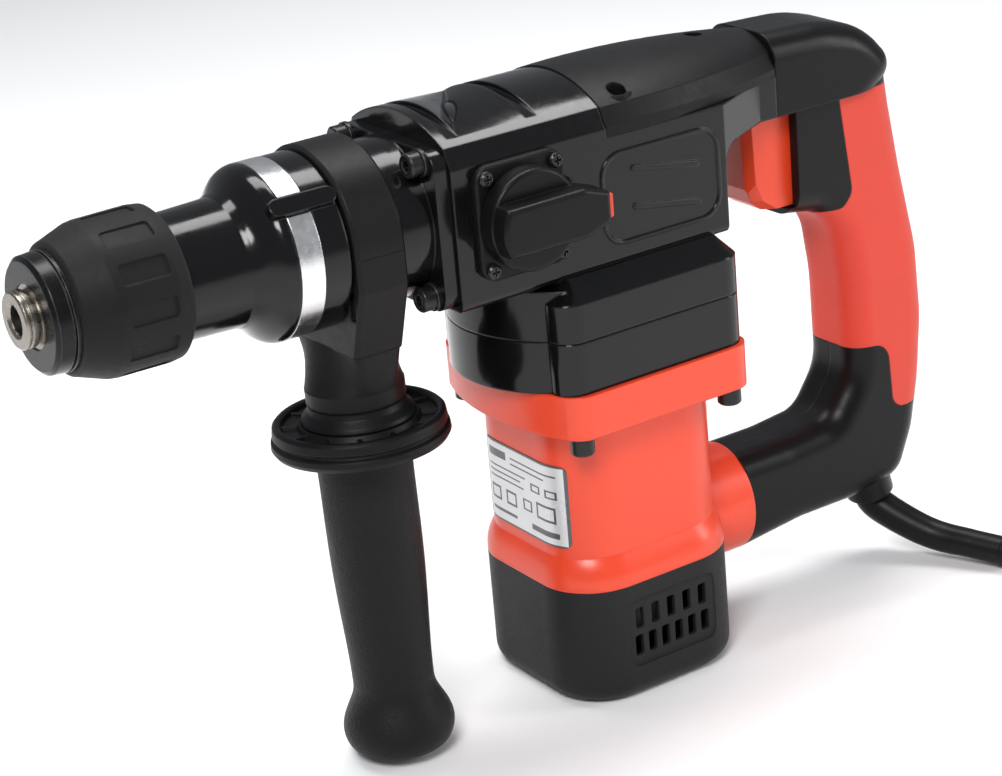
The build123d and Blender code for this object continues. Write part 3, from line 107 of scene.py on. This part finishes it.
def finish(name, color, rough, rough_spread=0.05, metallic=0.0, coat=0.0, rounding=0.0006,
           grain=(), mottle=0.12, wear=0.0, wear_color=(0.5, 0.5, 0.5), specular=0.5, sheen=0.0,
           shade_core_radius=0.0):
    """Procedural finish: broken colour, uneven gloss, grain bumps, softened and worn edges.

    grain is a list of (pattern, size in metres, height in metres), where a pattern is noise,
    cells, or the axis that a wave runs along; the core radius blackens what lies nearer to the
    motor axis than that radius, as painted shade for the shaded inside of a housing."""
    material, tree, shader, node = start_material(name)
    place = node("ShaderNodeTexCoord").outputs["Object"]
    broad = node("ShaderNodeTexNoise", {"Vector": place, "Scale": 38.0, "Detail": 4.0, "Roughness": 0.55})
    fine = node("ShaderNodeTexNoise", {"Vector": place, "Scale": 420.0, "Detail": 3.0, "Roughness": 0.6})
    both = node("ShaderNodeMath", {0: broad.outputs["Fac"], 1: fine.outputs["Fac"]}, operation="ADD")
    level = node("ShaderNodeMapRange", {
        "Value": both.outputs[0], "From Min": 0.7, "From Max": 1.3,
        "To Min": max(rough - rough_spread, 0.02), "To Max": rough + rough_spread,
    })
    light = tuple(min(c * (1 + mottle), 1.0) for c in color) + (1.0,)
    dark = tuple(c * (1 - mottle) for c in color) + (1.0,)
    tint = node("ShaderNodeMix", {"Factor": broad.outputs["Fac"], "A": dark, "B": light}, data_type="RGBA")
    shade = tint.outputs["Result"]
    soft = node("ShaderNodeBevel", {"Radius": rounding}, samples=6)
    if wear:
        true_normal = node("ShaderNodeNewGeometry").outputs["Normal"]
        facing = node("ShaderNodeVectorMath", {
            0: soft.outputs["Normal"], 1: true_normal,
        }, operation="DOT_PRODUCT")
        edge = node("ShaderNodeMapRange", {
            "Value": facing.outputs["Value"],
            "From Min": 0.985, "From Max": 0.90, "To Min": 0.0, "To Max": wear,
        })
        broken = node("ShaderNodeMath", {
            0: edge.outputs["Result"], 1: fine.outputs["Fac"],
        }, operation="MULTIPLY")
        worn = node("ShaderNodeMix", {
            "Factor": broken.outputs[0], "A": shade, "B": tuple(wear_color) + (1.0,),
        }, data_type="RGBA")
        shade = worn.outputs["Result"]
    # painted shade: inside the core radius the colour turns near black, standing in for the shade inside
    # the motor housing
    if shade_core_radius:
        flat = node("ShaderNodeVectorMath", {0: place, 1: (1.0, 1.0, 0.0)}, operation="MULTIPLY")
        radius = node("ShaderNodeVectorMath", {0: flat.outputs["Vector"]}, operation="LENGTH")
        core = node("ShaderNodeMath", {0: radius.outputs["Value"], 1: shade_core_radius}, operation="LESS_THAN")
        painted_inside_shade = node("ShaderNodeMix", {
            "Factor": core.outputs[0], "A": shade, "B": inside_shade_color,
        }, data_type="RGBA")
        shade = painted_inside_shade.outputs["Result"]
    tree.links.new(shade, shader.inputs["Base Color"])
    tree.links.new(level.outputs["Result"], shader.inputs["Roughness"])
    shader.inputs["Metallic"].default_value = metallic
    shader.inputs["Coat Weight"].default_value = coat
    shader.inputs["Coat Roughness"].default_value = 0.08
    shader.inputs["Specular IOR Level"].default_value = specular
    shader.inputs["Sheen Weight"].default_value = sheen
    shader.inputs["Sheen Roughness"].default_value = 0.6
    normal = soft.outputs["Normal"]
    for pattern, size, height in grain:
        if pattern == "noise":
            field = node("ShaderNodeTexNoise", {
                "Vector": place, "Scale": 1.0 / size, "Detail": 2.0,
            }).outputs["Fac"]
        elif pattern == "cells":
            field = node("ShaderNodeTexVoronoi", {"Vector": place, "Scale": 1.0 / size}).outputs["Distance"]
        else:
            field = node("ShaderNodeTexWave", {
                "Vector": place, "Scale": wave_scale / size, "Distortion": 0.4, "Detail": 1.0,
            }, bands_direction=pattern).outputs["Fac"]
        bump = node("ShaderNodeBump", {
            "Height": field, "Normal": normal, "Strength": 1.0, "Distance": height,
        })
        normal = bump.outputs["Normal"]
    tree.links.new(normal, shader.inputs["Normal"])
    return material


def make_finishes():
    """All finishes by name, without the label's."""
    casting = [("noise", 0.011, 0.00004), ("noise", 0.0014, 0.000008)]
    spark = [("noise", 0.0007, 0.00005)]
    return {
        "gloss_black": finish("gloss_black_paint", black, 0.15, 0.05, coat=0.12, specular=0.26,
                              rounding=0.0011, grain=casting, wear=0.10,
                              wear_color=(0.10, 0.10, 0.10)),
        "satin_black": finish("satin_black_metal", black, 0.26, 0.05, rounding=0.0007, specular=0.22,
                              grain=[("noise", 0.0009, 0.00001)], wear=0.25),
        "satin_plastic": finish("satin_black_plastic", (0.0045, 0.0045, 0.0048), 0.34, 0.05,
                                rounding=0.0010, specular=0.18,
                                grain=[("noise", 0.0007, 0.000015), ("noise", 0.02, 0.00010)]),
        "matt_plastic": finish("textured_black_plastic", (0.0055, 0.0055, 0.0058), 0.44, 0.06,
                               rounding=0.0009, specular=0.17, grain=spark, mottle=0.16),
        "grey_plastic": finish("matt_grey_plastic", (0.0140, 0.0140, 0.0145), 0.50, 0.06,
                               rounding=0.0010, specular=0.18, grain=spark, mottle=0.14),
        "black_rubber": finish("matt_black_rubber", (0.0065, 0.0065, 0.0068), 0.58, 0.07,
                               rounding=0.0010, specular=0.15,
                               grain=[("noise", 0.0006, 0.00004)], mottle=0.2, sheen=0.03),
        "dotted_rubber": finish("dotted_grip_rubber", (0.0065, 0.0065, 0.0068), 0.55, 0.08,
                                rounding=0.0008, specular=0.16,
                                grain=[("cells", 0.0010, 0.00014)], mottle=0.2, sheen=0.03),
        "boot_rubber": finish("smooth_boot_rubber", (0.0055, 0.0055, 0.0058), 0.40, 0.05,
                              rounding=0.0007, specular=0.18, grain=[("noise", 0.0008, 0.00002)]),
        "orange_plastic": finish("orange_housing_plastic", orange, 0.33, 0.04, rounding=0.0010,
                                 grain=[("noise", 0.0009, 0.000012), ("noise", 0.02, 0.00012)], mottle=0.04,
                                 # the orange housing gets painted shade inside the stator bore
                                 shade_core_radius=stator_bore),
        "red_rubber": finish("red_grip_rubber", soft_red, 0.52, 0.06, rounding=0.0012,
                             grain=[("noise", 0.0006, 0.00003)], mottle=0.05, sheen=0.04, specular=0.35),
        "trigger_plastic": finish("orange_trigger_plastic", trigger_red, 0.34, 0.03, rounding=0.0004,
                                  grain=[("noise", 0.001, 0.000004)], mottle=0.03),
        "bright_band": finish("turned_aluminium", (0.80, 0.80, 0.80), 0.24, 0.05, metallic=1.0,
                              rounding=0.0004, grain=[("X", 0.0005, 0.000008)], mottle=0.04),
        "steel": finish("oiled_steel", (0.30, 0.27, 0.235), 0.30, 0.10, metallic=1.0, rounding=0.0004,
                        grain=[("X", 0.0006, 0.00002), ("noise", 0.0008, 0.00004)], mottle=0.35,
                        wear=0.4, wear_color=(0.62, 0.58, 0.5)),
        "bright_steel": finish("ground_steel", (0.55, 0.55, 0.55), 0.18, 0.05, metallic=1.0,
                               rounding=0.0003, grain=[("noise", 0.0006, 0.000008)], mottle=0.08),
        "screw_black": finish("black_oxide_screw", (0.018, 0.018, 0.018), 0.30, 0.08, metallic=0.6,
                              rounding=0.0005, grain=[("noise", 0.0005, 0.00003)], wear=0.5,
                              wear_color=(0.35, 0.34, 0.32)),
        "zinc": finish("zinc_plate", (0.42, 0.41, 0.38), 0.30, 0.08, metallic=1.0, rounding=0.0004,
                       grain=[("noise", 0.0005, 0.00001)], mottle=0.12),
        "copper": finish("turned_copper", (0.60, 0.25, 0.12), 0.28, 0.06, metallic=1.0,
                         grain=[("Z", 0.0006, 0.00001)], mottle=0.12),
        "brass": finish("pressed_brass", (0.62, 0.43, 0.16), 0.30, 0.06, metallic=1.0,
                        grain=[("noise", 0.001, 0.00001)], mottle=0.1),
        "core": finish("stacked_core_sheets", (0.10, 0.10, 0.11), 0.45, 0.08, metallic=0.8,
                       grain=[("Z", 0.0005, 0.00005)], mottle=0.15),
        "carbon": finish("pressed_carbon", (0.02, 0.02, 0.02), 0.7, 0.08,
                         grain=[("noise", 0.0004, 0.00003)]),
    }


# Which finish each CAD node takes. The rating label has its own.
node_finishes = {
    "gloss_black": ("front_barrel", "crankcase", "gear_cover"),
    "satin_black": ("nose_cap",),
    "satin_plastic": ("mode_knob", "handle_shell_near", "handle_shell_far"),
    "matt_plastic": ("top_cover", "selector_plate", "side_clamp", "side_yoke", "guard_disc", "fan",
                     "switch_body"),
    "grey_plastic": ("base_cap",),
    "black_rubber": ("locking_sleeve", "front_seal", "striker_ring", "piston_ring"),
    "dotted_rubber": ("side_grip",),
    "boot_rubber": ("cord_guard",),
    "orange_plastic": ("motor_housing",),
    "red_rubber": ("soft_grip",),
    "trigger_plastic": ("trigger", "knob_insert"),
    "bright_band": ("barrel_band", "piston", "connecting_rod"),
    "steel": ("tool_holder", "cylinder", "impact_bolt", "striker", "wrist_pin", "crankshaft", "crank_gear",
              "intermediate_gear", "bevel_ring", "bevel_shaft", "armature_shaft", "selector_shaft",
              "sleeve_spring", "trigger_spring"),
    "bright_steel": ("locking_balls", "spindle_bearings", "gear_bearings", "motor_bearings"),
    "screw_black": ("flange_bolts", "flange_washers", "flange_screws", "cover_screws", "handle_screws",
                    "selector_screws", "base_screws"),
    "zinc": ("side_bolt",),
    "copper": ("commutator",),
    "brass": ("brush_holders",),
    "core": ("armature_core", "stator"),
    "carbon": ("brushes",),
}


# Printed bars and boxes of the label, and the clear middles of its boxes, each as
# (across start, across end, up start, up end) in shares of the label.
label_blocks = (
    (0.06, 0.30, 0.80, 0.90), (0.36, 0.92, 0.85, 0.87), (0.36, 0.80, 0.78, 0.80),
    (0.06, 0.55, 0.68, 0.70), (0.06, 0.48, 0.61, 0.63), (0.06, 0.52, 0.54, 0.56),
    (0.62, 0.74, 0.58, 0.68), (0.80, 0.92, 0.58, 0.68), (0.50, 0.62, 0.30, 0.44),
    (0.68, 0.90, 0.28, 0.48), (0.06, 0.20, 0.26, 0.44), (0.27, 0.41, 0.26, 0.44),
    (0.60, 0.92, 0.10, 0.17), (0.06, 0.40, 0.12, 0.16),
)
label_holes = (
    (0.64, 0.72, 0.60, 0.66), (0.82, 0.90, 0.60, 0.66), (0.52, 0.60, 0.32, 0.42),
    (0.70, 0.88, 0.31, 0.45), (0.08, 0.18, 0.29, 0.41), (0.29, 0.39, 0.29, 0.41),
)


def label_finish():
    """Pale foil with a thin frame, grey bars and plain boxes in place of print."""
    material, tree, shader, node = start_material("plain_rating_foil")
    place = node("ShaderNodeTexCoord").outputs["Object"]
    parts = node("ShaderNodeSeparateXYZ", {"Vector": place})
    low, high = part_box("rating_label")

    def share(axis, start, end):
        return node("ShaderNodeMapRange", {
            "Value": parts.outputs[axis], "From Min": start, "From Max": end, "To Min": 0.0, "To Max": 1.0,
        }).outputs["Result"]

    def math(kind, a, b, c=0.0):
        return node("ShaderNodeMath", {0: a, 1: b, 2: c}, operation=kind).outputs[0]

    def inside(value, start, end):
        middle = (start + end) / 2
        return math("COMPARE", value, middle, (end - start) / 2)

    def block(across_start, across_end, up_start, up_end):
        return math("MULTIPLY", inside(across, across_start, across_end), inside(up, up_start, up_end))

    across = share("Y", high.y, low.y)
    up = share("Z", low.z, high.z)
    ink = block(*label_blocks[0])
    for edges in label_blocks[1:]:
        ink = math("MAXIMUM", ink, block(*edges))
    for edges in label_holes:
        ink = math("MULTIPLY", ink, math("SUBTRACT", 1.0, block(*edges)))
    rim = math("SUBTRACT", 1.0, block(0.02, 0.98, 0.025, 0.975))
    ink = math("MAXIMUM", ink, rim)
    cloud = node("ShaderNodeTexNoise", {"Vector": place, "Scale": 60.0, "Detail": 3.0})
    paper = node("ShaderNodeMix", {
        "Factor": cloud.outputs["Fac"], "A": (0.62, 0.62, 0.63, 1.0), "B": (0.72, 0.72, 0.72, 1.0),
    }, data_type="RGBA")
    printed = node("ShaderNodeMix", {
        "Factor": ink, "A": paper.outputs["Result"], "B": label_ink,
    }, data_type="RGBA")
    tree.links.new(printed.outputs["Result"], shader.inputs["Base Color"])
    gloss = node("ShaderNodeMapRange", {"Value": cloud.outputs["Fac"], "To Min": 0.22, "To Max": 0.40})
    tree.links.new(gloss.outputs["Result"], shader.inputs["Roughness"])
    shader.inputs["Metallic"].default_value = 0.25
    return material


def dress_nodes():
    """Gives every CAD node its finish."""
    finishes = make_finishes()
    for key, names in node_finishes.items():
        for name in names:
            paint(nodes_by_name[name], finishes[key])
    paint(nodes_by_name["rating_label"], label_finish())


def paint(piece, material):
    """Puts one material on the whole piece."""
    piece.data.materials.clear()
    piece.data.materials.append(material)


# ---------------------------------------------------------------- studio
def area_light(name, spot, toward, size, power, color=(1.0, 1.0, 1.0)):
    """Rectangular soft box at a spot, facing a point."""
    data = bpy.data.lights.new(name, "AREA")
    data.shape = "RECTANGLE"
    data.size, data.size_y = size
    data.energy = power
    data.color = color
    light = bpy.data.objects.new(name, data)
    bpy.context.scene.collection.objects.link(light)
    light.location = spot
    light.rotation_euler = (Vector(toward) - Vector(spot)).to_track_quat("-Z", "Y").to_euler()


def build_studio():
    """Pale floor and soft light."""
    mesh = bpy.data.meshes.new("floor")
    corners = [(x * floor_half, y * floor_half, 0) for x, y in ((-1, -1), (1, -1), (1, 1), (-1, 1))]
    mesh.from_pydata(corners, [], [(0, 1, 2, 3)])
    floor = bpy.data.objects.new("floor", mesh)
    bpy.context.scene.collection.objects.link(floor)
    floor.location.z = min(cad_low.z, 0.0) - floor_gap
    material, tree, shader, node = start_material("pale_floor")
    place = node("ShaderNodeTexCoord").outputs["Object"]
    cloud = node("ShaderNodeTexNoise", {"Vector": place, "Scale": 3.0, "Detail": 2.0})
    tint = node("ShaderNodeMix", {
        "Factor": cloud.outputs["Fac"], "A": (0.86, 0.86, 0.86, 1.0), "B": (0.90, 0.90, 0.90, 1.0),
    }, data_type="RGBA")
    tree.links.new(tint.outputs["Result"], shader.inputs["Base Color"])
    shader.inputs["Roughness"].default_value = 0.7
    shader.inputs["Specular IOR Level"].default_value = 0.2
    paint(floor, material)

    world = bpy.data.worlds.new("studio")
    world.use_nodes = True
    world.node_tree.nodes["Background"].inputs["Color"].default_value = (0.9, 0.93, 1.0, 1.0)
    world.node_tree.nodes["Background"].inputs["Strength"].default_value = 0.30
    bpy.context.scene.world = world
    bpy.context.scene.view_settings.view_transform = "Standard"

    area_light("key", (-0.9, -0.9, 1.3), (-0.02, 0.0, 0.12), (0.55, 0.55), 21.0)
    area_light("top", (0.1, 0.35, 1.5), (0.0, 0.0, 0.15), (1.6, 0.5), 26.0)
    area_light("side", (1.2, -0.9, 0.6), (0.0, 0.0, 0.1), (0.4, 0.9), 9.0)


place_camera()
build_studio()
dress_nodes()
